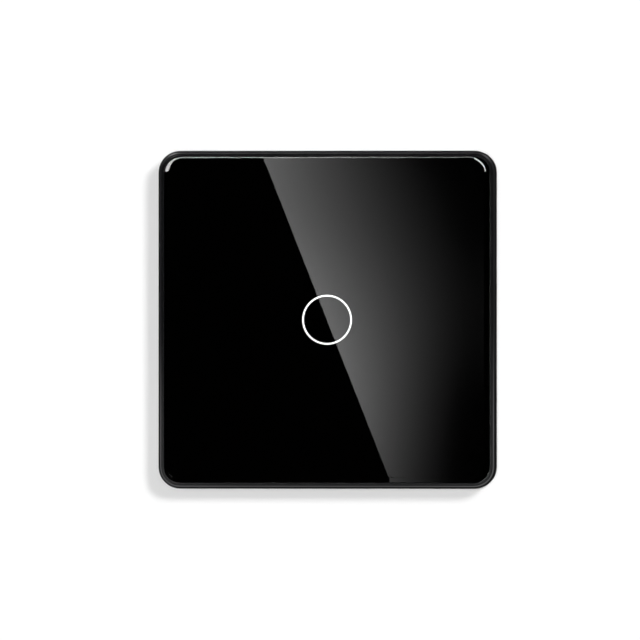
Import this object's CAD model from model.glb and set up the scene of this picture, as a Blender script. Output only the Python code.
import logging
import math
from dataclasses import dataclass, replace
from enum import Enum
from typing import Any, Iterable, Sequence

import bmesh
import bpy
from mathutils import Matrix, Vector


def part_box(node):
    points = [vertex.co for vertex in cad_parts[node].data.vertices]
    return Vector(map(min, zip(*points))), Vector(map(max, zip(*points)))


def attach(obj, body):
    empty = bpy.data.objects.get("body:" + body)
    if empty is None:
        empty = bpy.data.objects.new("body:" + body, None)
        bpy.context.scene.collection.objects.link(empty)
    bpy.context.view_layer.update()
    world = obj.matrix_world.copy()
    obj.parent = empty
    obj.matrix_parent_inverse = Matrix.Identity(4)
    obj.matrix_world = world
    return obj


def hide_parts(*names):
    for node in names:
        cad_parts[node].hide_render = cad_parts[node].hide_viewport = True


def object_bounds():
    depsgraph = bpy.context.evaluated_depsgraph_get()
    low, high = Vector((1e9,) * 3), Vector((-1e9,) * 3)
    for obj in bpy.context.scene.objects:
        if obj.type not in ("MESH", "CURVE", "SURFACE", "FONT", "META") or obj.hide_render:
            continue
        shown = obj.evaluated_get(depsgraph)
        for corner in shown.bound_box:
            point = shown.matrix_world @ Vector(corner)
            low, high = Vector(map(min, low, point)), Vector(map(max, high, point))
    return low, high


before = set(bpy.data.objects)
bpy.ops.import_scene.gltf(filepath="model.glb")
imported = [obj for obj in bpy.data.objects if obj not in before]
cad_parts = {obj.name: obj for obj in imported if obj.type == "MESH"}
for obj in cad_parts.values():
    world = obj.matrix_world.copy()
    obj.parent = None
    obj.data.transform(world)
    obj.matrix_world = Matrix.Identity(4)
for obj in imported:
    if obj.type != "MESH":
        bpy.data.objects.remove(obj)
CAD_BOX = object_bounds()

LOG = logging.getLogger("touch_switch")
MM = 0.001
Colour = tuple[float, float, float]
Place = tuple[float, float, float]
Span = tuple[float, float]
Loop = list[Vector]


# ---- Node trees ----

class Value:
    """A node's output socket that can stand in a Python expression."""

    def __init__(self, tree: "Tree", socket: bpy.types.NodeSocket) -> None:
        """Keeps the socket and the tree that it belongs to."""
        self.tree = tree
        self.socket = socket

    def math(self, operation: str, *others: Any) -> "Value":
        """Adds a Math node with this value as its first number."""
        return self.tree.sum_up(operation, self, *others)

    def __add__(self, other: Any) -> "Value":
        """Adds a number or value."""
        return self.math("ADD", other)

    __radd__ = __add__

    def __sub__(self, other: Any) -> "Value":
        """Takes a number or value away."""
        return self.math("SUBTRACT", other)

    def __rsub__(self, other: Any) -> "Value":
        """Takes this value away from a number."""
        return self.tree.sum_up("SUBTRACT", other, self)

    def __mul__(self, other: Any) -> "Value":
        """Multiplies by a number or value."""
        return self.math("MULTIPLY", other)

    __rmul__ = __mul__

    def __truediv__(self, other: Any) -> "Value":
        """Divides by a number or value."""
        return self.math("DIVIDE", other)

    def __rtruediv__(self, other: Any) -> "Value":
        """Divides a number by this value."""
        return self.tree.sum_up("DIVIDE", other, self)

    def __abs__(self) -> "Value":
        """The size of this value without its sign."""
        return self.math("ABSOLUTE")

    def above(self, edge: float) -> "Value":
        """One where this value is greater than the edge."""
        return self.math("GREATER_THAN", edge)

    def rise(self, low: float, high: float) -> "Value":
        """Goes smoothly from 0 at low to 1 at high."""
        return self.tree.add("ShaderNodeMapRange", {"interpolation_type": "SMOOTHSTEP"},
                             {"Value": self, "From Min": low, "From Max": high})["Result"]


def find(sockets: Sequence[bpy.types.NodeSocket], key: str | int) -> bpy.types.NodeSocket:
    """Finds a socket.

    Args:
        sockets: a node's inputs or outputs.
        key: the socket's place, its identifier or its name.

    Returns:
        The socket.
    """
    if isinstance(key, int):
        return sockets[key]
    exact = [s for s in sockets if s.identifier == key]
    return (exact or [s for s in sockets if s.name == key])[0]


class Node:
    """A node just made, whose outputs are read by name."""

    def __init__(self, tree: "Tree", node: bpy.types.Node) -> None:
        """Keeps the node and its tree."""
        self.tree = tree
        self.node = node

    def __getitem__(self, name: str | int) -> Value:
        """The output of that place, identifier or name."""
        return Value(self.tree, find(self.node.outputs, name))


class Tree:
    """A shader, world or geometry tree that nodes are added to."""

    def __init__(self, tree: bpy.types.NodeTree) -> None:
        """Starts with an empty tree."""
        self.tree = tree
        self.tree.nodes.clear()

    def add(self, kind: str, settings: dict[str, Any] | None = None,
            inputs: dict[str | int, Any] | None = None) -> Node:
        """Adds one node.

        Args:
            kind: the node's type.
            settings: properties, set first; "stops" fills a colour ramp.
            inputs: what each socket gets, a value to link or a constant.

        Returns:
            The node.
        """
        node = self.tree.nodes.new(kind)
        for name, setting in (settings or {}).items():
            if name == "stops":
                self._fill_ramp(node.color_ramp, setting)
            else:
                setattr(node, name, setting)
        for key, given in (inputs or {}).items():
            socket = find(node.inputs, key)
            if isinstance(given, Value):
                self.tree.links.new(given.socket, socket)
            elif socket.type == "RGBA" and len(given) == 3:
                socket.default_value = (*given, 1.0)
            else:
                socket.default_value = given
        return Node(self, node)

    @staticmethod
    def _fill_ramp(ramp: bpy.types.ColorRamp, stops: Sequence[tuple[float, Colour]]) -> None:
        """Gives a ramp its stops.

        Args:
            ramp: the ramp.
            stops: places and colours, from left to right.
        """
        while len(ramp.elements) < len(stops):
            ramp.elements.new(1.0)
        for element, (place, colour) in zip(ramp.elements, stops):
            element.position = place
            element.color = (*colour, 1.0)

    def sum_up(self, operation: str, *numbers: Any) -> Value:
        """Adds a Math node that takes these numbers or values, in order."""
        return self.add("ShaderNodeMath", {"operation": operation}, dict(enumerate(numbers)))[0]

    def split(self, vector: Value) -> tuple[Value, Value, Value]:
        """The three numbers of a vector."""
        node = self.add("ShaderNodeSeparateXYZ", inputs={0: vector})
        return node[0], node[1], node[2]

    def mix(self, mask: Any, first: Any, second: Any) -> Value:
        """Blends two colours, from the first where the mask is 0 to the second where it is 1."""
        return self.add("ShaderNodeMix", {"data_type": "RGBA"}, {
            "Factor_Float": mask, "A_Color": first, "B_Color": second})["Result_Color"]


class Shader(Tree):
    """A material's tree, with the few moves that every finish here is made of."""
    EDGE_TURN: Span = (0.02, 0.22)

    def __init__(self, name: str) -> None:
        """Makes the material and its object coordinates, in millimetres.

        Args:
            name: the material's name.
        """
        self.material = bpy.data.materials.new(name)
        self.material.use_nodes = True
        super().__init__(self.material.node_tree)
        place = self.add("ShaderNodeTexCoord")["Object"]
        self.mm = self.add("ShaderNodeVectorMath", {"operation": "SCALE"},
                           {0: place, "Scale": 1 / MM})["Vector"]
        self.x, self.y, self.z = self.split(self.mm)

    def noise(self, size: float, detail: float = 2.0, stretch: Place = (1, 1, 1),
              rough: float = 0.5) -> Value:
        """Noise whose blotches are about that many millimetres wide.

        Args:
            size: the width of a blotch in millimetres.
            detail: how many finer layers it has.
            stretch: how much longer the blotches are along each axis.
            rough: how strong the finer layers are.

        Returns:
            The noise, from 0 to 1.
        """
        along = self.add("ShaderNodeMapping", {"vector_type": "POINT"},
                         {"Vector": self.mm, "Scale": tuple(1 / s for s in stretch)})["Vector"]
        return self.add("ShaderNodeTexNoise", None,
                        {"Vector": along, "Scale": 1 / size, "Detail": detail,
                         "Roughness": rough})["Fac"]

    def cells(self, size: float) -> Value:
        """Distance in a pattern of cells about that many millimetres wide."""
        return self.add("ShaderNodeTexVoronoi", None,
                        {"Vector": self.mm, "Scale": 1 / size})["Distance"]

    def soft_edges(self, radius: float) -> tuple[Value, Value]:
        """Rounds the edges in the shading and finds them.

        Args:
            radius: the radius in millimetres.

        Returns:
            The rounded normal, and a mask that is 1 on the edges.
        """
        bevel = self.add("ShaderNodeBevel", {"samples": 6}, {"Radius": radius * MM})["Normal"]
        flat = self.add("ShaderNodeNewGeometry")["Normal"]
        turn = self.add("ShaderNodeVectorMath", {"operation": "DOT_PRODUCT"},
                        {0: bevel, 1: flat})["Value"]
        return bevel, (1 - turn).rise(*self.EDGE_TURN)

    def relief(self, height: Value, depth: float, normal: Value | None = None) -> Value:
        """Bumps the surface.

        Args:
            height: the relief, from 0 to 1.
            depth: how deep it is, in millimetres.
            normal: the normal that it starts from.

        Returns:
            The new normal.
        """
        inputs = {"Height": height, "Distance": depth * MM, "Strength": 1.0}
        if normal is not None:
            inputs["Normal"] = normal
        return self.add("ShaderNodeBump", None, inputs)["Normal"]

    def surface(self, **sockets: Any) -> Value:
        """Adds the Principled shader, with underscores for the spaces of its sockets' names."""
        named = {key.replace("_", " "): given for key, given in sockets.items()}
        return self.add("ShaderNodeBsdfPrincipled", None, named)["BSDF"]

    def done(self, shader: Value) -> bpy.types.Material:
        """Joins the shader to the output and returns the material."""
        self.add("ShaderNodeOutputMaterial", None, {"Surface": shader})
        return self.material


# ---- Finishes ----

class Axis(Enum):
    """A direction that a pattern runs along."""
    X = 0
    Y = 1
    Z = 2

    def stretch(self, by: float) -> Place:
        """A stretch by that much along this axis."""
        return tuple(by if i == self.value else 1.0 for i in range(3))

    def of(self, shader: Shader) -> Value:
        """This axis of the shader's coordinates, in millimetres."""
        return (shader.x, shader.y, shader.z)[self.value]


def shade(tint: Colour, by: float, lift: float = 0.0) -> Colour:
    """A tint made that many times as light, and lifted, at most to white."""
    return tuple(min(1.0, c * by + lift) for c in tint)


class Finish:
    """What a surface is like. Each kind adds its own nodes."""

    def material(self, name: str) -> bpy.types.Material:
        """The finish as a material of that name."""
        s = Shader(name)
        return s.done(self.coat(s))

    def coat(self, s: Shader) -> Value:
        """Adds the finish's nodes to a material's tree and returns its shader."""
        raise NotImplementedError


@dataclass(frozen=True)
class Moulded(Finish):
    """Injection-moulded plastic: a spark-eroded grain, soft edges and a little rub on them."""
    tint: Colour
    roughness: float = 0.42
    grain: float = 0.22
    depth: float = 0.006
    edge: float = 0.18
    rubbed: float = 0.25
    mottle: float = 0.06
    pins: tuple[Span, ...] = ()
    pin_r: float = 1.6
    pin_line: Span = (0.05, 0.22)
    pin_depth: float = 3.0
    patch: float = 9.0
    patch_edge: Span = (0.35, 0.65)
    worn: Span = (1.4, 0.002)
    crisp: float = 0.65
    grain_rough: float = 0.12
    patch_rough: float = 0.08
    edge_rough: float = 0.08

    def coat(self, s: Shader) -> Value:
        """Adds the plastic's nodes, with the round marks of the mould's pins.

        Args:
            s: the material's tree.

        Returns:
            The shader.
        """
        patches = s.noise(self.patch, 3.0)
        grain = s.noise(self.grain, 3.0, rough=self.crisp)
        normal, edges = s.soft_edges(self.edge)
        colour = s.mix(patches.rise(*self.patch_edge), shade(self.tint, 1 - self.mottle),
                       shade(self.tint, 1 + self.mottle))
        colour = s.mix(edges * self.rubbed, colour, shade(self.tint, *self.worn))
        height = grain
        for x, z in self.pins:
            away = ((s.x - x).math("POWER", 2.0) + (s.z - z).math("POWER", 2.0)).math("SQRT")
            height = height - (1 - abs(away - self.pin_r).rise(*self.pin_line)) * self.pin_depth
        rough = self.roughness + (grain - 0.5) * self.grain_rough
        rough = rough + (patches - 0.5) * self.patch_rough - edges * self.edge_rough
        return s.surface(Base_Color=colour, Roughness=rough,
                         Normal=s.relief(height, self.depth, normal))


@dataclass(frozen=True)
class Plated(Finish):
    """Sheet or turned metal: rolled or drawn streaks, a faint haze and bright worn edges."""
    tint: Colour
    roughness: float = 0.32
    drawn: Axis = Axis.X
    haze: Colour = (0.5, 0.52, 0.56)
    edge: float = 0.12
    streak: float = 0.12
    streak_length: float = 30.0
    patch: float = 5.0
    patch_edge: Span = (0.4, 0.68)
    spot: float = 0.5
    depth: float = 0.004
    crisp: float = 0.6
    haze_share: float = 0.15
    edge_share: float = 0.8
    edge_bright: float = 1.15
    streak_rough: float = 0.16
    spot_rough: float = 0.1
    edge_rough: float = 0.1
    streak_relief: float = 0.7

    def coat(self, s: Shader) -> Value:
        """Adds the metal's nodes.

        Args:
            s: the material's tree.

        Returns:
            The shader.
        """
        streaks = s.noise(self.streak, 3.0, self.drawn.stretch(self.streak_length), self.crisp)
        patches = s.noise(self.patch, 4.0)
        spots = s.noise(self.spot)
        normal, edges = s.soft_edges(self.edge)
        hazed = tuple(t + (h - t) * self.haze_share for t, h in zip(self.tint, self.haze))
        colour = s.mix(patches.rise(*self.patch_edge), self.tint, hazed)
        colour = s.mix(edges * self.edge_share, colour, shade(self.tint, self.edge_bright))
        rough = self.roughness + (streaks - 0.5) * self.streak_rough
        rough = rough + (spots - 0.5) * self.spot_rough - edges * self.edge_rough
        height = streaks * self.streak_relief + spots * (1 - self.streak_relief)
        return s.surface(Base_Color=colour, Metallic=1.0, Roughness=rough,
                         Normal=s.relief(height, self.depth, normal))


@dataclass(frozen=True)
class Leads:
    """Where a part is bare metal: between two levels along one axis, or outside them."""
    axis: Axis
    low: float
    high: float
    outside: bool = False
    tint: Colour = (0.78, 0.78, 0.76)

    @classmethod
    def beside(cls, node: str, half: float) -> "Leads":
        """Leads on both sides of a node's body, given half of the body's width."""
        x = middle(node)[0]
        return cls(Axis.X, x - half, x + half, True)

    def mask(self, s: Shader) -> Value:
        """One on the metal, 0 on the body."""
        away = abs(self.axis.of(s) - (self.low + self.high) / 2).above((self.high - self.low) / 2)
        return away if self.outside else 1 - away


@dataclass(frozen=True)
class Potted(Finish):
    """A component's body of epoxy, sleeve or case, with tinned leads and plain bands."""
    tint: Colour
    leads: Leads
    roughness: float = 0.35
    lumps: float = 0.01
    lump_size: float = 1.5
    bands: tuple[tuple[float, float, Colour], ...] = ()
    along: Axis = Axis.X
    edge: float = 0.12
    fine: float = 0.15
    lump_edge: Span = (0.3, 0.7)
    lump_shade: float = 0.88
    worn: Span = (1.3, 0.02)
    worn_share: float = 0.3
    fine_rough: float = 0.12
    metal_rough: float = 0.08
    fine_relief: float = 0.2

    def coat(self, s: Shader) -> Value:
        """Adds the component's nodes.

        Args:
            s: the material's tree.

        Returns:
            The shader.
        """
        lump = s.noise(self.lump_size)
        fine = s.noise(self.fine)
        normal, edges = s.soft_edges(self.edge)
        metal = self.leads.mask(s)
        colour = s.mix(lump.rise(*self.lump_edge), shade(self.tint, self.lump_shade), self.tint)
        colour = s.mix(edges * self.worn_share, colour, shade(self.tint, *self.worn))
        for low, high, tint in self.bands:
            place = self.along.of(s)
            colour = s.mix(place.above(low) * (1 - place.above(high)), colour, tint)
        return s.surface(
            Base_Color=s.mix(metal, colour, self.leads.tint), Metallic=metal,
            Roughness=self.roughness + (fine - 0.5) * self.fine_rough - metal * self.metal_rough,
            Normal=s.relief(lump + fine * self.fine_relief, self.lumps, normal))


@dataclass(frozen=True)
class ClearGlass(Finish):
    """Clear toughened glass, polished, with a faint change of tint across it."""
    tint: Colour = (0.985, 0.995, 0.99)
    deep: Colour = (0.96, 0.985, 0.975)
    index: float = 1.65
    wiped: float = 14.0
    wiped_edge: Span = (0.3, 0.7)
    wiped_stretch: Place = (1, 1, 2.5)

    def coat(self, s: Shader) -> Value:
        """Adds the glass's nodes; it has no roughness, so it mirrors what only mirrors show.

        Args:
            s: the material's tree.

        Returns:
            The shader.
        """
        wiped = s.noise(self.wiped, 3.0, self.wiped_stretch)
        return s.surface(Base_Color=s.mix(wiped.rise(*self.wiped_edge), self.tint, self.deep),
                         Roughness=0.0, IOR=self.index, Transmission_Weight=1.0)


@dataclass(frozen=True)
class Ink(Finish):
    """Screen-printed ink on the back of the glass, with the mesh's fine weave."""
    tint: Colour
    glow: float = 0.0
    weave: float = 0.08
    thread_shade: float = 0.9
    roughness: float = 0.5
    weave_rough: float = 0.2

    def coat(self, s: Shader) -> Value:
        """Adds the ink's nodes.

        Args:
            s: the material's tree.

        Returns:
            The shader.
        """
        weave = s.noise(self.weave, 1.0)
        return s.surface(Base_Color=s.mix(weave, shade(self.tint, self.thread_shade), self.tint),
                         Roughness=self.roughness + weave * self.weave_rough,
                         Specular_IOR_Level=0.0,
                         Emission_Color=(1.0, 1.0, 1.0), Emission_Strength=self.glow)


@dataclass(frozen=True)
class Milky(Finish):
    """Translucent acrylic with fine scatter."""
    tint: Colour = (0.93, 0.95, 0.98)
    deep: Colour = (0.84, 0.88, 0.93)
    scatter: float = 0.6
    edge: float = 0.15
    depth: float = 0.004
    roughness: float = 0.28
    haze_rough: float = 0.12
    edge_rough: float = 0.05
    clear: float = 0.35
    index: float = 1.49

    def coat(self, s: Shader) -> Value:
        """Adds the acrylic's nodes.

        Args:
            s: the material's tree.

        Returns:
            The shader.
        """
        haze = s.noise(self.scatter, 3.0)
        normal, edges = s.soft_edges(self.edge)
        rough = self.roughness + haze * self.haze_rough - edges * self.edge_rough
        return s.surface(Base_Color=s.mix(haze, self.tint, self.deep), Roughness=rough,
                         Transmission_Weight=self.clear, IOR=self.index,
                         Normal=s.relief(haze, self.depth, normal))


@dataclass(frozen=True)
class Foam(Finish):
    """Closed-cell foam tape."""
    tint: Colour = (0.82, 0.82, 0.78)
    deep: Colour = (0.55, 0.55, 0.5)
    cell: float = 0.22
    cell_edge: Span = (0.0, 0.9)
    depth: float = 0.04
    roughness: float = 0.8
    cell_rough: float = 0.1

    def coat(self, s: Shader) -> Value:
        """Adds the foam's nodes.

        Args:
            s: the material's tree.

        Returns:
            The shader.
        """
        cell = s.cells(self.cell)
        return s.surface(Base_Color=s.mix(cell.rise(*self.cell_edge), self.deep, self.tint),
                         Roughness=self.roughness + (cell - 0.5) * self.cell_rough,
                         Normal=s.relief(cell, self.depth))


@dataclass(frozen=True)
class Laminate(Finish):
    """A circuit board: solder mask over copper tracks, or bare brown laminate with fibres."""
    tint: Colour
    track: Colour
    pitch: float = 1.6
    fibre: Colour = (0.55, 0.5, 0.3)
    bend: float = 9.0
    bend_size: float = 11.0
    run_width: Span = (0.16, 0.2)
    cross_width: Span = (0.1, 0.13)
    cross_pitch: float = 1.7
    weave: float = 0.3
    weave_stretch: Place = (6, 1, 1)
    track_share: float = 0.75
    fibre_share: float = 0.6
    edge: float = 0.08
    depth: float = 0.02
    roughness: float = 0.3
    weave_rough: float = 0.15
    weave_relief: float = 0.2

    def coat(self, s: Shader) -> Value:
        """Adds the board's nodes: two families of winding tracks over a weave.

        Args:
            s: the material's tree.

        Returns:
            The shader.
        """
        bend = s.noise(self.bend_size, 0.0) * self.bend
        run = ((s.x + bend) / self.pitch).math("FRACT")
        cross = ((s.z - bend) / (self.pitch * self.cross_pitch)).math("FRACT")
        copper = (1 - abs(run - 0.5).rise(*self.run_width)).math(
            "MAXIMUM", 1 - abs(cross - 0.5).rise(*self.cross_width))
        weave = s.noise(self.weave, 2.0, self.weave_stretch)
        normal, edges = s.soft_edges(self.edge)
        colour = s.mix(copper * self.track_share, self.tint, self.track)
        colour = s.mix(edges * self.fibre_share, colour, self.fibre)
        return s.surface(Base_Color=colour, Roughness=self.roughness + weave * self.weave_rough,
                         Normal=s.relief(copper + weave * self.weave_relief, self.depth, normal))


# ---- Mesh work ----

def upright(x: float, y: float, z: float) -> Vector:
    """Turns millimetres across, up and out of the wall into the frame's metres."""
    return Vector((x * MM, -z * MM, y * MM))


def middle(node: str) -> Span:
    """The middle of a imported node, in millimetres across and up."""
    low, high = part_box(node)
    return (low.x + high.x) / 2 / MM, (low.z + high.z) / 2 / MM


def size(node: str) -> Span:
    """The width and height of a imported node, in millimetres."""
    low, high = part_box(node)
    return (high.x - low.x) / MM, (high.z - low.z) / MM


def levels(node: str) -> Span:
    """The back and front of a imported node, in millimetres out of the wall."""
    low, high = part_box(node)
    return -high.y / MM, -low.y / MM


def rounded_loop(w: float, h: float, r: float, z: float, steps: int = 24,
                 lead: float = 0.1) -> Loop:
    """Points round a rectangle with round corners.

    Args:
        w: its width in millimetres.
        h: its height.
        r: its corner radius.
        z: its level out of the wall.
        steps: segments in each corner.
        lead: how far from a corner a straight side has one more point, to shade it flat.

    Returns:
        The points, anticlockwise from the front.
    """
    points = []
    for q, (sx, sy) in enumerate(((1, 1), (-1, 1), (-1, -1), (1, -1))):
        for i in range(-1, steps + 2):
            a = math.radians(90 * (q + min(max(i, 0), steps) / steps))
            past = lead * ((i > steps) - (i < 0))
            points.append(upright(sx * (w / 2 - r) + r * math.cos(a) - past * math.sin(a),
                                  sy * (h / 2 - r) + r * math.sin(a) + past * math.cos(a), z))
    return points


def round_loop(r: float, z: float, count: int) -> Loop:
    """Points round a circle about the middle, anticlockwise from the front."""
    turns = (math.tau * i / count for i in range(count))
    return [upright(r * math.cos(a), r * math.sin(a), z) for a in turns]


class Loft:
    """A mesh of solids that are each skinned over loops of equally many points."""
    SHARP: float = 30.0

    def __init__(self) -> None:
        """Starts with nothing."""
        self.mesh = bmesh.new()

    def skin(self, loops: Sequence[Loop], ring: bool = False) -> "Loft":
        """Adds a solid.

        Args:
            loops: its loops, in order.
            ring: True joins the last loop to the first; else both ends are capped.

        Returns:
            The loft.
        """
        rows = [[self.mesh.verts.new(p) for p in loop] for loop in loops]
        count = len(rows[0])
        for a, b in list(zip(rows, rows[1:])) + ([(rows[-1], rows[0])] if ring else []):
            for i in range(count):
                j = (i + 1) % count
                self.mesh.faces.new((a[i], a[j], b[j], b[i]))
        for row in () if ring else (rows[0], rows[-1]):
            centre = self.mesh.verts.new(sum((v.co for v in row), Vector()) / count)
            for i in range(count):
                self.mesh.faces.new((row[i], row[(i + 1) % count], centre))
        return self

    def piece(self, name: str, finish: Finish | None = None) -> bpy.types.Object:
        """The loft as an object.

        Args:
            name: the object's name.
            finish: its finish.

        Returns:
            The object, at the origin, with edges that turn more than SHARP degrees kept sharp.
        """
        bmesh.ops.recalc_face_normals(self.mesh, faces=self.mesh.faces)
        for face in self.mesh.faces:
            face.smooth = True
        for edge in self.mesh.edges:
            edge.smooth = edge.calc_face_angle(0.0) < math.radians(self.SHARP)
        data = bpy.data.meshes.new(name)
        self.mesh.to_mesh(data)
        self.mesh.free()
        if finish is not None:
            data.materials.append(finish.material(name))
        made = bpy.data.objects.new(name, data)
        bpy.context.scene.collection.objects.link(made)
        return made


class Grower(Tree):
    """A geometry tree with named inputs that ends in real mesh with its material."""

    def __init__(self, name: str, sizes: dict[str, str]) -> None:
        """Makes the tree and its inputs.

        Args:
            name: the tree's name.
            sizes: each input's name and kind of socket.
        """
        group = bpy.data.node_groups.new(name, "GeometryNodeTree")
        for title, kind in ({"Geometry": "Geometry"} | sizes | {"Material": "Material"}).items():
            group.interface.new_socket(title, in_out="INPUT", socket_type="NodeSocket" + kind)
        group.interface.new_socket("Geometry", in_out="OUTPUT", socket_type="NodeSocketGeometry")
        super().__init__(group)
        self.given = self.add("NodeGroupInput")

    def close(self, geometry: Value) -> "Grower":
        """Ends the tree in Realize Instances and Set Material.

        Args:
            geometry: what the tree has made.

        Returns:
            The tree.
        """
        real = self.add("GeometryNodeRealizeInstances", None, {"Geometry": geometry})["Geometry"]
        dressed = self.add("GeometryNodeSetMaterial", None,
                           {"Geometry": real, "Material": self.given["Material"]})["Geometry"]
        self.add("NodeGroupOutput", None, {"Geometry": dressed})
        return self

    def grow(self, name: str, points: Sequence[Vector], joined: bool, finish: Finish,
             sizes: dict[str, Any]) -> bpy.types.Object:
        """Runs the tree on points and keeps the result as a plain mesh.

        Args:
            name: the finished piece's name.
            points: where it grows.
            joined: whether the points follow one another along a path.
            finish: its finish.
            sizes: what each named input gets.

        Returns:
            The finished piece, at the origin.
        """
        given = sizes | {"Material": finish.material(name)}
        data = bpy.data.meshes.new(name + "_points")
        edges = [(i, i + 1) for i in range(len(points) - 1)] if joined else []
        data.from_pydata([tuple(p) for p in points], edges, [])
        host = bpy.data.objects.new(name + "_host", data)
        bpy.context.scene.collection.objects.link(host)
        modifier = host.modifiers.new("grow", "NODES")
        modifier.node_group = self.tree
        for item in self.tree.interface.items_tree:
            if item.in_out == "INPUT" and item.name in given:
                modifier[item.identifier] = given[item.name]
        host.update_tag()
        seen = host.evaluated_get(bpy.context.evaluated_depsgraph_get())
        mesh = bpy.data.meshes.new_from_object(seen)
        mesh.name = name
        piece = bpy.data.objects.new(name, mesh)
        bpy.context.scene.collection.objects.link(piece)
        host.modifiers.remove(modifier)
        bpy.data.objects.remove(host)
        return piece


def wire_grower() -> Grower:
    """A tree that turns a path of points into round wire.

    Returns:
        The tree, with inputs Wire radius, Sides, Step and Material.
    """
    g = Grower("round_wire", {"Wire radius": "Float", "Sides": "Int", "Step": "Float"})
    path = g.add("GeometryNodeMeshToCurve", None, {"Mesh": g.given["Geometry"]})["Curve"]
    path = g.add("GeometryNodeCurveSplineType", {"spline_type": "CATMULL_ROM"},
                 {"Curve": path})["Curve"]
    path = g.add("GeometryNodeResampleCurve", {"mode": "LENGTH"},
                 {"Curve": path, "Length": g.given["Step"]})["Curve"]
    section = g.add("GeometryNodeCurvePrimitiveCircle", None,
                    {"Resolution": g.given["Sides"], "Radius": g.given["Wire radius"]})["Curve"]
    wire = g.add("GeometryNodeCurveToMesh", None,
                 {"Curve": path, "Profile Curve": section, "Fill Caps": True})["Mesh"]
    return g.close(wire)


def scatter_grower() -> Grower:
    """A tree that sets a copy of a piece on every point, each turned about its own axis.

    Returns:
        The tree, with inputs Piece, Turn, Seed and Material.
    """
    g = Grower("set_on_points", {"Piece": "Object", "Turn": "Float", "Seed": "Int"})
    piece = g.add("GeometryNodeObjectInfo", None, {"Object": g.given["Piece"]})["Geometry"]
    turn = g.add("FunctionNodeRandomValue", {"data_type": "FLOAT"},
                 {"Max_001": g.given["Turn"], "Seed": g.given["Seed"]})["Value_001"]
    spin = g.add("ShaderNodeCombineXYZ", None, {"Y": turn})["Vector"]
    copies = g.add("GeometryNodeInstanceOnPoints", None, {
        "Points": g.given["Geometry"], "Instance": piece, "Rotation": spin})["Instances"]
    return g.close(copies)


def turned_copies(name: str, rows: Iterable[Span], sides: int, places: Iterable[Span], seed: int,
                  finish: Finish) -> bpy.types.Object:
    """One turned shape, set on many places.

    Args:
        name: the finished piece's name.
        rows: the shape's radius and level, row by row.
        sides: points round it.
        places: where it stands, across and up.
        seed: the seed of each copy's turn.
        finish: its finish.

    Returns:
        The finished piece.
    """
    pattern = Loft().skin([round_loop(r, z, sides) for r, z in rows]).piece(name + "_pattern")
    piece = scatter_grower().grow(name, [upright(x, y, 0.0) for x, y in places], False, finish,
                                  {"Piece": pattern, "Turn": math.tau, "Seed": seed})
    bpy.data.objects.remove(pattern)
    return piece


def dress(node: str, finish: Finish) -> None:
    """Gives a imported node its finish.

    Args:
        node: the node's name.
        finish: its finish.
    """
    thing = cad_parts[node]
    material = finish.material(node)
    if not thing.material_slots:
        thing.data.materials.append(material)
    for slot in thing.material_slots:
        slot.material = material
    LOG.info("dressed %s", node)


def settle(piece: bpy.types.Object, body: str, slot: str, *nodes: str) -> None:
    """Fixes a finished piece to a body.

    Args:
        piece: the piece.
        body: the body that it moves with.
        slot: the record's material slot that it takes its finish from.
        nodes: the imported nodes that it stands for.
    """
    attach(piece, body)
    if nodes:
        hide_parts(*nodes)
    LOG.info("placed %s on %s, %d faces", piece.name, body, len(piece.data.polygons))


# ---- The object's sub-assemblies ----

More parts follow.
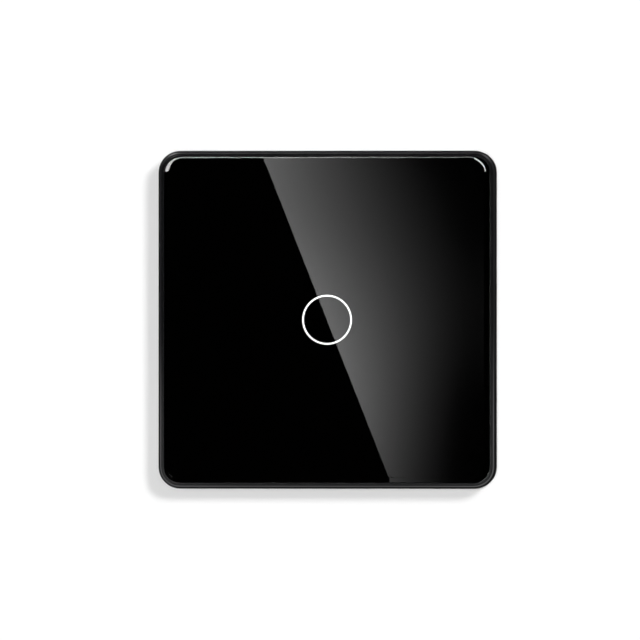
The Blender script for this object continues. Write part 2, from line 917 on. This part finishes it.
@dataclass
class GlassPanel:
    """The front panel: glass with ground edges, printed layers, foam tape and moulded frame."""
    corner_r: float = 3.95
    ground_w: float = 1.4
    ground_angle: float = 45.0
    ground_steps: int = 18
    arris: float = 0.12
    flat_lead: float = 0.04
    ink_overlap: float = 0.01
    ink_margin: float = 0.3
    ring_r: float = 6.125
    ring_w: float = 0.43
    ring_points: int = 240
    corner_points: int = 8

    def build(self) -> None:
        """Makes the smooth pieces and dresses the rest."""
        settle(self.glass(), "front_panel", "clear_glass", "glass_panel")
        settle(self.mask(), "front_panel", "black_ink", "printed_mask")
        settle(self.ring(), "front_panel", "white_ink", "ring_print")
        dress("bonding_tape", Foam())
        dress("panel_frame", Moulded((0.0052, 0.0052, 0.0058), roughness=0.23, grain=0.2,
                                     depth=0.0025, edge=0.12, rubbed=0.5, mottle=0.1))

    @property
    def arc(self) -> float:
        """The radius of the arc that the glass's edge is ground to."""
        return self.ground_w / math.sin(math.radians(self.ground_angle))

    def outline(self, inset: float, z: float, steps: int = 24) -> Loop:
        """The glass outline, drawn in by an inset, at a level."""
        w, h = size("glass_panel")
        return rounded_loop(w - 2 * inset, h - 2 * inset, self.corner_r - inset, z, steps)

    def glass(self) -> bpy.types.Object:
        """The glass, with its edge ground to an arc that runs into the face.

        Returns:
            The finished piece.
        """
        back, front = levels("glass_panel")
        loops = [self.outline(self.arris, back - self.ink_overlap),
                 self.outline(0.0, back + self.arris)]
        for i in range(self.ground_steps, -1, -1):
            a = math.radians(self.ground_angle * i / self.ground_steps)
            loops.append(self.outline(self.ground_w - self.arc * math.sin(a),
                                      front - self.arc * (1 - math.cos(a))))
        loops.append(self.outline(self.ground_w + self.flat_lead, front))
        return Loft().skin(loops).piece("smooth_glass", ClearGlass())

    def mask(self) -> bpy.types.Object:
        """The black print: a field with a round opening, and the disc inside the ring.

        Returns:
            The finished piece.
        """
        back, front = levels("printed_mask")
        turns = {round(math.tau * i / self.ring_points, 6) for i in range(self.ring_points)}
        turns |= {round(math.atan2(p.z, p.x) % math.tau, 6)
                  for p in self.outline(self.ink_margin, front, self.corner_points)}
        hole = self.ring_r + self.ring_w / 2
        field = [[upright(k * math.cos(a), k * math.sin(a), z)
                  for k, a in ((self.reach(a) if outer else hole, a) for a in sorted(turns))]
                 for outer, z in ((True, back), (True, front), (False, front), (False, back))]
        disc = [round_loop(hole - self.ring_w, z, self.ring_points) for z in (back, front)]
        return Loft().skin(field, ring=True).skin(disc).piece(
            "ink_field", Ink((0.0003, 0.0003, 0.00032)))

    def reach(self, a: float) -> float:
        """How far the black print reaches from its middle.

        Args:
            a: the direction, in radians.

        Returns:
            The distance in millimetres.
        """
        w, h = (side / 2 - self.ink_margin for side in size("glass_panel"))
        r = self.corner_r - self.ink_margin
        c, s = abs(math.cos(a)), abs(math.sin(a))
        far = min(w / max(c, 1e-9), h / max(s, 1e-9))
        if far * c > w - r and far * s > h - r:
            along = c * (w - r) + s * (h - r)
            far = along + math.sqrt(along * along - ((w - r) ** 2 + (h - r) ** 2 - r * r))
        return far

    def ring(self) -> bpy.types.Object:
        """The white print that marks the touch area, lit from behind.

        Returns:
            The finished piece.
        """
        back, front = levels("ring_print")
        out, inn = self.ring_r + self.ring_w / 2, self.ring_r - self.ring_w / 2
        loops = [round_loop(r, z, self.ring_points)
                 for r, z in ((out, back), (out, front), (inn, front), (inn, back))]
        return Loft().skin(loops, ring=True).piece("lit_ring", Ink((0.7, 0.7, 0.7), glow=1.0))


@dataclass
class WallFrame:
    """The steel mounting frame with its clips and their rivets."""
    rivet_r: float = 1.2
    rivet_h: float = 0.5
    rivet_chamfer: Span = (0.12, 0.1)
    dome_turn: float = 10.0
    dome_rows: int = 9
    sides: int = 40
    seed: int = 3

    def build(self) -> None:
        """Makes the rivets and dresses the rest."""
        dress("mounting_frame", Plated((0.62, 0.63, 0.65), roughness=0.34, drawn=Axis.X,
                                       haze=(0.42, 0.46, 0.54)))
        dress("retaining_springs", Plated((0.66, 0.66, 0.66), roughness=0.24, drawn=Axis.Z,
                                          haze=(0.5, 0.48, 0.44)))
        settle(self.rivets(), "module", "spring_steel", "spring_rivets")

    def rivets(self) -> bpy.types.Object:
        """Four rivets with domed heads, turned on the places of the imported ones.

        Returns:
            The finished piece.
        """
        back, front = levels("spring_rivets")
        (r, h), (across, along) = (self.rivet_r, self.rivet_h), self.rivet_chamfer
        rows = [(r - across, back), (r, back + along), (r, back + h), (r / 2, back + h),
                (r / 2, front - h)]
        rows += [(r * math.cos(a), front - h * (1 - math.sin(a)))
                 for a in (math.radians(self.dome_turn * i) for i in range(self.dome_rows))]
        x, y = (side / 2 - r for side in size("spring_rivets"))
        places = [(sx * x, sy * y) for sx in (-1, 1) for sy in (-1, 1)]
        return turned_copies("clip_rivets", rows, self.sides, places, self.seed,
                             Plated((0.7, 0.7, 0.7), roughness=0.26, drawn=Axis.Z))


@dataclass
class Shells:
    """The module's two plastic shells and the screws that hold them."""
    pins: tuple[Span, ...] = ((-15.0, 12.0), (15.0, 12.0), (-15.0, -8.0), (15.0, -8.0))
    rear: Moulded = Moulded((0.7, 0.69, 0.665), roughness=0.46, grain=0.4, depth=0.018,
                            edge=0.3, rubbed=0.2, mottle=0.012)
    front_tint: Colour = (0.72, 0.71, 0.69)

    def build(self) -> None:
        """Dresses the shells and screws."""
        dress("rear_housing", replace(self.rear, pins=self.pins))
        dress("front_housing", replace(self.rear, tint=self.front_tint, roughness=0.44, edge=0.25))
        dress("housing_screws", Plated((0.66, 0.66, 0.68), roughness=0.3, drawn=Axis.Y,
                                       haze=(0.5, 0.48, 0.4)))


@dataclass
class Sensor:
    """The touch board with its spring, lamps and light guide."""
    coil_r: float = 3.4
    wire_r: float = 0.25
    turns: float = 3.0
    foot_bend: float = 0.5
    top_share: float = 0.45
    turn_points: int = 24
    step: float = 0.22
    sides: int = 14
    chip_half: float = 1.99
    pins: Leads = Leads(Axis.Y, -0.5, 4.4, outside=True)
    lamp_pads: Leads = Leads(Axis.Y, 9.0, 10.0)
    lamp_top: tuple[float, float, Colour] = (-3.0, -2.06, (0.85, 0.62, 0.08))

    def build(self) -> None:
        """Makes the spring and dresses the rest."""
        settle(self.spring(), "module", "spring_steel", "touch_spring")
        chip = Leads.beside("touch_controller", self.chip_half)
        dress("touch_board", Laminate((0.012, 0.085, 0.04), track=(0.03, 0.17, 0.07), pitch=1.3))
        dress("touch_controller", Potted((0.02, 0.02, 0.022), chip, roughness=0.5, lumps=0.004,
                                         lump_size=0.4))
        dress("board_header", Potted((0.02, 0.02, 0.02), self.pins, roughness=0.4, lumps=0.004,
                                     lump_size=0.5))
        dress("light_guide", Milky())
        dress("ring_leds", Potted((0.8, 0.8, 0.76), self.lamp_pads, roughness=0.3, lumps=0.002,
                                  lump_size=0.4, bands=(self.lamp_top,), along=Axis.Y))

    def path(self) -> Loop:
        """Points along the spring's wire: stem, helix and flat spiral top.

        Returns:
            The points, in order.
        """
        back, front = levels("touch_spring")
        board = levels("touch_board")[1]
        start, end = board + self.wire_r + self.foot_bend, front - self.wire_r
        first = math.asin(self.foot_bend / self.coil_r)
        stem = self.coil_r * math.cos(first)
        points = [upright(stem, 0, z) for z in (back, (back + board) / 2, board)]
        for turn in map(math.radians, (0, 30, 60)):
            points.append(upright(stem, self.foot_bend * (1 - math.cos(turn)),
                                  start - self.foot_bend * (1 - math.sin(turn))))
        total = int(self.turns * self.turn_points)
        for i in range(total + self.turn_points + 1):
            a = first + math.tau * i / self.turn_points
            top = max(0, i - total) / self.turn_points
            r = self.coil_r * (1 - (1 - self.top_share) * top)
            points.append(upright(r * math.cos(a), r * math.sin(a),
                                  start + (end - start) * min(i, total) / total))
        return points

    def spring(self) -> bpy.types.Object:
        """The coil spring that carries the touch field to the glass.

        Returns:
            The finished piece.
        """
        finish = Plated((0.72, 0.71, 0.7), roughness=0.2, drawn=Axis.Y,
                        haze=(0.55, 0.52, 0.48), edge=0.03)
        return wire_grower().grow("wound_spring", self.path(), True, finish, {
            "Wire radius": self.wire_r * MM, "Sides": self.sides, "Step": self.step * MM})


@dataclass
class PowerBoard:
    """The mains board with its parts and their solder joints."""
    board_front: float = 4.4
    board_back: float = 6.0
    lead_reach: float = 3.0
    joint_r: float = 0.95
    joint_top: float = 0.38
    joint_h: float = 1.0
    joint_curve: float = 1.6
    joint_rows: int = 8
    sides: int = 18
    seed: int = 5
    relay_share: Span = (0.4, 0.36)
    lead_half: tuple[tuple[str, float], ...] = (
        ("film_capacitor", 5.46), ("fuse_resistor", 6.1), ("surge_disc", 2.6))
    can_leads: tuple[Span, ...] = ((5.0, 2.5), (-4.0, 2.0))
    disc_leads: Leads = Leads(Axis.Y, 0.0, 6.85)
    bridge_half: float = 2.39
    fuse_half: float = 4.5
    band_half: float = 0.3
    fuse_bands: tuple[tuple[float, Colour], ...] = (
        (-2.4, (0.28, 0.1, 0.03)), (-1.2, (0.01, 0.01, 0.01)), (0.0, (0.01, 0.01, 0.01)),
        (2.3, (0.5, 0.36, 0.12)))
    can_stripes: tuple[Span, ...] = ((-21.3, -19.4), (-10.4, -9.0))
    can_stripe: Colour = (0.55, 0.56, 0.6)

    def build(self) -> None:
        """Makes the solder joints and dresses the parts."""
        under = Leads(Axis.Y, self.board_front - self.lead_reach, self.board_back + 0.02)
        bridge = Leads.beside("bridge_rectifier", self.bridge_half)
        fuse = Leads.beside("fuse_resistor", self.fuse_half)
        x = middle("fuse_resistor")[0]
        bands = tuple((x + at - self.band_half, x + at + self.band_half, tint)
                      for at, tint in self.fuse_bands)
        stripes = tuple((*edges, self.can_stripe) for edges in self.can_stripes)
        dress("power_board", Laminate((0.42, 0.27, 0.1), track=(0.5, 0.36, 0.16), pitch=2.4))
        dress("relay", Potted((0.03, 0.09, 0.34), under, roughness=0.3, lumps=0.004,
                              lump_size=2.0))
        dress("film_capacitor", Potted((0.62, 0.42, 0.03), under, roughness=0.32, lump_size=1.2))
        dress("electrolytic_capacitors", Potted((0.02, 0.02, 0.035), under, roughness=0.28,
                                                lumps=0.004, lump_size=2.5, bands=stripes))
        dress("bridge_rectifier", Potted((0.018, 0.018, 0.018), bridge, roughness=0.5,
                                         lumps=0.004, lump_size=0.5))
        dress("surge_disc", Potted((0.03, 0.12, 0.4), self.disc_leads, roughness=0.25, lumps=0.03,
                                   lump_size=1.6))
        dress("fuse_resistor", Potted((0.06, 0.26, 0.13), fuse, lumps=0.02, lump_size=0.8,
                                      bands=bands))
        settle(self.joints(), "module", "spring_steel")

    def lead_places(self) -> list[Span]:
        """Where the parts' leads come through the board, across and up.

        Returns:
            The places in millimetres.
        """
        (x, y), (w, h) = middle("relay"), size("relay")
        across, up = self.relay_share
        places = [(x + sx * w * across, y + sy * h * up) for sx in (-1, 1) for sy in (-1, 1)]
        pairs = [(*middle(node), reach) for node, reach in self.lead_half]
        (x, y), (w, _) = middle("electrolytic_capacitors"), size("electrolytic_capacitors")
        pairs += [(x - math.copysign(w / 2, inset) + inset, y, reach)
                  for inset, reach in self.can_leads]
        for x, y, reach in pairs:
            places += [(x - reach, y), (x + reach, y)]
        return places

    def joints(self) -> bpy.types.Object:
        """Solder cones round every lead, on the board's front.

        Returns:
            The finished piece.
        """
        shares = [i / self.joint_rows for i in range(self.joint_rows + 1)]
        rows = [(self.joint_r * (1 - t) ** self.joint_curve + self.joint_top,
                 self.joint_h * t - self.board_front) for t in shares]
        return turned_copies("solder_joints", rows, self.sides, self.lead_places(), self.seed,
                             Plated((0.66, 0.66, 0.65), roughness=0.22, drawn=Axis.Y))


@dataclass
class Terminals:
    """The terminal block with its tongues, captive screws and rising clamps."""
    poles: int = 3

    def build(self) -> None:
        """Dresses every piece."""
        dress("terminal_block", Moulded((0.1, 0.26, 0.17), roughness=0.4, grain=0.2, edge=0.2,
                                        rubbed=0.3, mottle=0.04))
        dress("contact_tongues", Plated((0.78, 0.57, 0.26), roughness=0.3, drawn=Axis.Z,
                                        haze=(0.55, 0.38, 0.2)))
        for k in range(1, self.poles + 1):
            dress(f"terminal_screw_{k}", Plated((0.7, 0.69, 0.67), roughness=0.28, drawn=Axis.Y))
            dress(f"clamp_cage_{k}", Plated((0.76, 0.6, 0.32), roughness=0.32, drawn=Axis.Y,
                                            haze=(0.6, 0.45, 0.25)))


# ---- The studio ----

@dataclass(frozen=True)
class Lamp:
    """A lamp: far light whose size is degrees of sky, or near, a square with sides in metres."""
    name: str
    place: Place
    strength: float
    size: float
    far: bool = True

    def hang(self) -> None:
        """Hangs the lamp, turned to the object and unseen in its gloss."""
        data = bpy.data.lights.new(self.name, "SUN" if self.far else "AREA")
        data.energy = self.strength
        if self.far:
            data.angle = math.radians(self.size)
        else:
            data.shape, data.size = "SQUARE", self.size
        made = bpy.data.objects.new(self.name, data)
        made.location = self.place
        made.rotation_mode = "QUATERNION"
        made.rotation_quaternion = (-Vector(self.place)).to_track_quat("-Z", "Y")
        made.visible_glossy = False
        bpy.context.scene.collection.objects.link(made)


@dataclass
class Studio:
    """Camera, lights, wall and floor, and what the polished glass and the rim reflect.

    A strip lamp's spots are places on the glass's ground corner: degrees round from the right, and
    millimetres in from the side. A Span is where a soft step starts and ends, in degrees off the
    picture's axis for the world's light, and in millimetres for the cards. The capitals are the
    screen's own curve, from the tone of a pixel to light.
    """
    WHITE = 255
    CURVE = 2.4
    CURVE_FOOT = 0.055
    CURVE_START = 0.0008
    camera_distance: float = 3.0
    camera_turn: float = 3.0
    picture_w: float = 0.16303
    aim: Place = (-1.94, -5.0, -0.06)
    wall_size: float = 3.0
    wall_y: float = -0.1
    wall_white: tuple[Colour, Colour] = ((0.86, 0.86, 0.86), (0.88, 0.88, 0.88))
    wall_gloss: Colour = (0.01, 0.01, 0.01)
    close_by: float = 3.0
    floor_z: float = -0.42
    floor_pale: tuple[Colour, Colour] = ((0.8, 0.8, 0.79), (0.84, 0.84, 0.83))
    sky: float = 0.1
    lamps: tuple[Lamp, ...] = (
        Lamp("key", (0.51, -1.0, 0.41), 1.42, 14.0),
        Lamp("back_soft", (-1.0, 1.6, 1.2), 26.0, 1.0, False),
        Lamp("back_side", (1.8, 0.9, 0.3), 16.0, 1.0, False),
        Lamp("fill", (0.0, -1.0, 0.0), 2.2, 8.0),
        Lamp("above", (0.0, 0.0, 1.0), 2.1, 5.0))
    strip: float = 9.9
    strip_end: float = 1.0
    left_strip: tuple[Span, ...] = (
        (97, 0.41), (101, 0.44), (109, 0.51), (117, 0.65), (125, 0.78), (133, 0.92), (141, 0.98),
        (149, 1.04), (157, 1.07), (165, 1.06), (172, 0.98), (175.5, 0.94))
    left_edge: Span = (-2.0, 2.0)
    left_far: Span = (69.0, 73.0)
    right_strip: tuple[Span, ...] = (
        (6, 1.05), (11, 1.056), (19, 1.12), (27, 1.107), (35, 1.043), (43, 1.005), (51, 0.941),
        (59, 0.865), (67, 0.75), (75, 0.66), (83, 0.51), (87, 0.43))
    right_edge: Span = (13.0, 17.0)
    right_near: Span = (7.0, 9.0)
    rim_glow: tuple[Span, ...] = (
        (0, 0.3), (35, 0.6), (48, 3.2), (62, 3.8), (72, 0.5), (90, 0.1), (102, 0.4), (107, 9.9),
        (120, 9.9), (128, 1.3), (150, 0.7), (180, 0.3), (360, 0.3))
    rim_near: Span = (14.0, 48.0)
    rim_far: Span = (72.0, 94.0)
    rear_glow: float = 0.75
    rear_from: Span = (0.1, 0.5)
    band_away: float = 7.0
    band_r: float = 12.6
    band_near: float = 11.0
    band_far: float = 90.0
    band_light: float = 2.5
    band_top: Span = (-32.0, 2.0)
    band_middle: float = 0.7
    band_ends: Span = (22.0, 42.0)
    band_front: float = -50.0
    band_back: float = -20.0
    box_light: float = 1.3
    box_side: float = 0.3
    box_place: Place = (-0.2, -0.01, 0.0)
    box_slant: float = 0.65
    box_near: Span = (165.0, 262.0)
    box_low: Span = (-62.0, -60.0)
    box_high: Span = (28.0, 30.0)
    card_distance: float = 0.3
    card_left: float = -85.0
    card_right: float = 34.0
    arch_reach: float = 86.0
    arch_steps: int = 44
    flat_reach: float = 40.6
    hold_from: float = 58.0
    edge_top: Span = (-16.17, 41.4)
    edge_bottom: Span = (16.42, -41.5)
    edge_soft: Span = (-0.05, 0.2)
    fade_scale: float = 40.0
    fade_end: tuple[float, ...] = (37.5, 2.17, -6.82, -4.03)
    fade_slope: tuple[float, ...] = (2.706, -1.369, 0.029, 0.745)
    fade_bend: float = 90.0
    haze: float = 0.0018
    haze_z: float = 1.0
    haze_away: Span = (2.0, 26.0)
    line_start: float = 72.8
    line_soft: float = 3.0
    line_light: float = 6.9
    line_fade: float = 0.057
    line_fade_from: float = -33.0

    def build(self) -> None:
        """Sets up the whole studio."""
        bpy.context.scene.view_settings.view_transform = "Standard"
        self.camera()
        self.surround()
        self.backdrop()
        for lamp in self.lamps:
            lamp.hang()
        self.arch()
        self.soft_box()
        self.low_band()

    def away(self) -> Vector:
        """The direction from the object to the camera."""
        turn = math.radians(self.camera_turn)
        return Vector((math.sin(turn), -math.cos(turn), 0.0))

    def camera(self) -> None:
        """The camera, far off and almost square on, as in the photograph."""
        data = bpy.data.cameras.new("camera")
        data.lens = data.sensor_width * self.camera_distance / self.picture_w
        data.clip_start, data.clip_end = 0.1, 30.0
        cam = bpy.data.objects.new("camera", data)
        cam.location = Vector(self.aim) * MM + self.away() * self.camera_distance
        cam.rotation_mode = "QUATERNION"
        cam.rotation_quaternion = (-self.away()).to_track_quat("-Z", "Y")
        bpy.context.scene.collection.objects.link(cam)
        bpy.context.scene.camera = cam

    def bounce(self, around: float, inset: float) -> Span:
        """Where the camera looks by way of a spot on the glass's ground corner.

        Args:
            around: the spot's place round the corner, in degrees from the right.
            inset: its distance from the side of the glass, in millimetres.

        Returns:
            The direction as degrees round the picture's axis and degrees off it.
        """
        panel, a = GlassPanel(), math.radians(around)
        lean = (panel.ground_w - inset) / panel.arc
        normal = Vector((lean * math.cos(a), -math.sqrt(1 - lean * lean), lean * math.sin(a)))
        seen = 2 * normal.dot(self.away()) * normal - self.away()
        return math.degrees(math.atan2(seen.z, seen.x)), math.degrees(math.acos(-seen.y))

    def surround(self) -> None:
        """The world: white to the camera, even light for the rest, lamps in the gloss."""
        world = bpy.data.worlds.new("studio")
        world.use_nodes = True
        bpy.context.scene.world = world
        t = Tree(world.node_tree)
        x, y, z = t.split(t.add("ShaderNodeTexCoord")["Generated"])
        ray = t.add("ShaderNodeLightPath")
        glossy, mirror = ray["Is Glossy Ray"], ray["Is Singular Ray"]
        forward = (0.0 - y).math("MINIMUM", 1.0).math("MAXIMUM", -1.0)
        off = forward.math("ARCCOSINE") * math.degrees(1)
        around = z.math("ARCTAN2", x) * math.degrees(1)
        away, reach = self.strip_lamp(t, around, off, self.right_strip)
        right = (1 - abs(away).rise(*self.right_edge)) * reach * off.rise(*self.right_near)
        away, reach = self.strip_lamp(t, around, off, self.left_strip)
        left = away.rise(*self.left_edge) * reach * (1 - off.rise(*self.left_far))
        glow = self.ramp(t, (around / 360).math("FRACT"), self.rim_glow, 360, 10)
        dull = glow * off.rise(*self.rim_near) * (1 - off.rise(*self.rim_far))
        dull = dull + y.rise(*self.rear_from) * self.rear_glow
        gloss = mirror * (right + left) * self.strip + (1 - mirror) * dull
        plain = ray["Is Camera Ray"] + (1 - ray["Is Camera Ray"]) * self.sky
        back = t.add("ShaderNodeBackground", None, {
            "Color": (1.0, 1.0, 1.0), "Strength": glossy * gloss + (1 - glossy) * plain})
        t.add("ShaderNodeOutputWorld", None, {"Surface": back["Background"]})

    @staticmethod
    def ramp(tree: Tree, place: Value, stops: Sequence[Span], length: float, top: float) -> Value:
        """A number that follows given stops.

        Args:
            tree: the tree.
            place: where along the stops, from 0 to 1.
            stops: places and numbers.
            length: the place that counts as 1.
            top: the number that counts as 1.

        Returns:
            The number.
        """
        greys = [(at / length, (number / top,) * 3) for at, number in stops]
        ramp = tree.add("ShaderNodeValToRGB", {"stops": greys}, {0: place})["Color"]
        return tree.add("ShaderNodeSeparateColor", None, {0: ramp})["Red"] * top

    def strip_lamp(self, tree: Tree, around: Value, off: Value,
                   spots: Sequence[Span]) -> tuple[Value, Value]:
        """The course of a strip lamp that shows along given spots on the glass's corner.

        Args:
            tree: the world's tree.
            around: degrees round the axis.
            off: degrees off it.
            spots: where the lamp's edge shows.

        Returns:
            Degrees outwards from the lamp's edge, and one where it reaches, with soft ends.
        """
        seen = sorted(self.bounce(*spot) for spot in spots)
        (first, _), (last, _), end = seen[0], seen[-1], self.strip_end
        reach = around.rise(first - end, first + end) * (1 - around.rise(last - end, last + end))
        return off - self.ramp(tree, around / 180, seen, 180, 100), reach

    def backdrop(self) -> None:
        """The white wall, seen from its front only, and the pale floor, seen from above."""
        s = Shader("wall_paint")
        ray = s.add("ShaderNodeLightPath")
        glossy = ray["Is Glossy Ray"]
        close = 1 - ray["Ray Length"].above(self.close_by * MM)
        colour = s.mix(glossy, s.mix(s.noise(60.0), *self.wall_white), self.wall_gloss)
        wall = self.sheet("wall", [(-1, 0, -1), (1, 0, -1), (1, 0, 1), (-1, 0, 1)],
                          (0.0, self.wall_y * MM, 0.0), self.wall_size / 2)
        wall.data.materials.append(self.paint(s, colour, close * glossy))
        s = Shader("floor_paint")
        floor = self.sheet("floor", [(-1, -1, 0), (1, -1, 0), (1, 1, 0), (-1, 1, 0)],
                           (0.0, 0.0, self.floor_z), self.wall_size)
        colour = s.mix(s.noise(90.0, 3.0), *self.floor_pale)
        floor.data.materials.append(self.paint(s, colour, 0.0))
        floor.visible_glossy = floor.visible_diffuse = False

    @staticmethod
    def paint(s: Shader, colour: Value, through: Any) -> bpy.types.Material:
        """Dull paint that shows from the front only.

        Args:
            s: its material's tree.
            colour: its colour.
            through: one where rays pass it from the front, too.

        Returns:
            The material.
        """
        clear = s.add("ShaderNodeNewGeometry")["Backfacing"].math("MAXIMUM", through)
        return s.done(s.add("ShaderNodeMixShader", None, {
            0: clear, 1: s.add("ShaderNodeBsdfDiffuse", None, {"Color": colour})["BSDF"],
            2: s.add("ShaderNodeBsdfTransparent")["BSDF"]})["Shader"])

    @staticmethod
    def sheet(name: str, corners: Sequence[Sequence[float]], place: Place = (0.0, 0.0, 0.0),
              scale: float = 1.0) -> bpy.types.Object:
        """A strip of flat stage pieces.

        Args:
            name: its name.
            corners: its corners, four to each flat piece, as shares of its scale.
            place: its middle.
            scale: what one share is, in metres.

        Returns:
            The piece, marked as stage.
        """
        data = bpy.data.meshes.new(name)
        faces = [tuple(range(i, i + 4)) for i in range(0, len(corners), 4)]
        data.from_pydata([tuple(Vector(c) * scale + Vector(place)) for c in corners], [], faces)
        made = bpy.data.objects.new(name, data)
        bpy.context.scene.collection.objects.link(made)
        return made

    @staticmethod
    def light_up(s: Shader, light: Value, mirrored: bool, card: bpy.types.Object) -> None:
        """Makes a card shine, for reflections only.

        Args:
            s: its material's tree.
            light: its strength.
            mirrored: True for reflections in the polished glass, False for those in dull gloss.
            card: the card.
        """
        mirror = s.add("ShaderNodeLightPath")["Is Singular Ray"]
        glow = s.add("ShaderNodeEmission", None, {
            "Color": (1.0, 1.0, 1.0), "Strength": light * (mirror if mirrored else 1 - mirror)})
        clear = s.add("ShaderNodeBsdfTransparent")
        card.data.materials.append(s.done(s.add("ShaderNodeAddShader", None, {
            0: glow["Emission"], 1: clear["BSDF"]})["Shader"]))
        for ray in ("camera", "diffuse", "transmission", "shadow", "volume_scatter"):
            setattr(card, f"visible_{ray}", False)

    def arch(self) -> None:
        """The lit arch that the glass reflects: a slanting edge, and a line along the top.

        Where the camera sees a spot of the arch on the glass follows from the length of the
        path between them.
        """
        s = Shader("arch_light")
        far, card, flat = self.camera_distance / MM, self.card_distance / MM, self.flat_reach
        front = CAD_BOX[0].y / MM
        z = s.z / (1 + card / far)
        rise = s.z - z.math("MINIMUM", flat).math("MAXIMUM", -flat)
        path = ((s.y - front).math("POWER", 2.0) + rise * rise).math("SQRT")
        share = path / far
        x = (s.x + share * (self.away().x * far)) / (1 + share)
        z = z.math("MINIMUM", flat)
        z = z - (z + flat) * (0.0 - z).above(self.hold_from)
        line = (s.z - math.sin(math.radians(self.line_start)) * card).rise(0.0, self.line_soft)
        past = (x - self.line_fade_from).math("MAXIMUM", 0.0)
        lit = self.slant(x, z) * (1 - line) + line * (self.line_light - past * self.line_fade)
        corners: list[Place] = []
        left, right = self.card_left * MM, self.card_right * MM
        for i in range(self.arch_steps):
            bends = [math.radians(self.arch_reach * (2 * j / self.arch_steps - 1))
                     for j in (i, i + 1)]
            (y0, z0), (y1, z1) = [(-math.cos(b) * self.card_distance,
                                   math.sin(b) * self.card_distance) for b in bends]
            corners += [(left, y0, z0), (right, y0, z0), (right, y1, z1), (left, y1, z1)]
        self.light_up(s, lit, True, self.sheet("arch", corners, (0.0, CAD_BOX[0].y, 0.0)))

    def slant(self, x: Value, z: Value) -> Value:
        """The light right of the slanting edge, which fades out towards the right.

        Args:
            x: where the camera sees it on the glass, across, in millimetres.
            z: where it sees it, up.

        Returns:
            The light's strength.
        """
        t = z / self.fade_scale
        level = (self.power_curve(t, self.fade_end) - x) * self.power_curve(t, self.fade_slope)
        tone = (level + (level * level + self.fade_bend).math("SQRT")) / (2 * self.WHITE)
        haze = self.haze * (1 - abs(z - self.haze_z).rise(*self.haze_away))
        light = ((tone + self.CURVE_FOOT) / (1 + self.CURVE_FOOT)).math("POWER", self.CURVE)
        light = light - self.CURVE_START + haze
        lean = (self.edge_bottom[0] - self.edge_top[0]) / (self.edge_bottom[1] - self.edge_top[1])
        edge = self.edge_top[0] + (z - self.edge_top[1]) * lean
        index = ClearGlass().index
        reflected = ((index - 1) / (index + 1)) ** 2
        return light.math("MAXIMUM", 0.0) * (x - edge).rise(*self.edge_soft) / reflected

    @staticmethod
    def power_curve(t: Value, shares: Sequence[float]) -> Value:
        """The first share, plus the next times t, plus the next times t squared, and so on.

        Args:
            t: the number that is raised.
            shares: the shares.

        Returns:
            The sum.
        """
        total = shares[-1]
        for share in reversed(shares[:-1]):
            total = share + t * total
        return total

    def soft_box(self) -> None:
        """A soft box low on the left, which the glass shows when it is seen from the right."""
        s = Shader("soft_box_light")
        slant = s.z - s.y * self.box_slant
        soft = (0.0 - s.y).rise(*self.box_near)
        soft = soft * slant.rise(*self.box_low) * (1 - slant.rise(*self.box_high))
        card = self.sheet("soft_box", [(0, -1, -1), (0, 0, -1), (0, 0, 0), (0, -1, 0)],
                          self.box_place, self.box_side)
        self.light_up(s, soft * self.box_light, True, card)

    def low_band(self) -> None:
        """A band of light round the frame, which brightens the lower half of its rim."""
        s = Shader("low_band_light")
        lit = 1 - s.z.rise(*self.band_top)
        sides = abs(s.x).rise(*self.band_ends)
        lit = lit * (self.band_middle + (1 - self.band_middle) * sides)
        lit = lit * s.y.rise(-self.band_far, self.band_front)
        lit = lit * (1 - s.y.rise(self.band_back, -self.band_near))
        low, high = CAD_BOX
        width = (high.x - low.x) / MM + 2 * self.band_away
        near, far = (rounded_loop(width, width, self.band_r, z)
                     for z in (self.band_near, self.band_far))
        corners: Loop = []
        for i, point in enumerate(near):
            j = (i + 1) % len(near)
            corners += [point, near[j], far[j], far[i]]
        self.light_up(s, lit * self.band_light, False, self.sheet("low_band", corners))


def main() -> None:
    """Builds the sub-assemblies and the studio."""
    logging.basicConfig(level=logging.INFO, format="%(name)s: %(message)s")
    Studio().build()
    for assembly in (GlassPanel(), WallFrame(), Shells(), Sensor(), PowerBoard(), Terminals()):
        assembly.build()
        LOG.info("built %s", type(assembly).__name__)


if __name__ == "__main__":
    main()
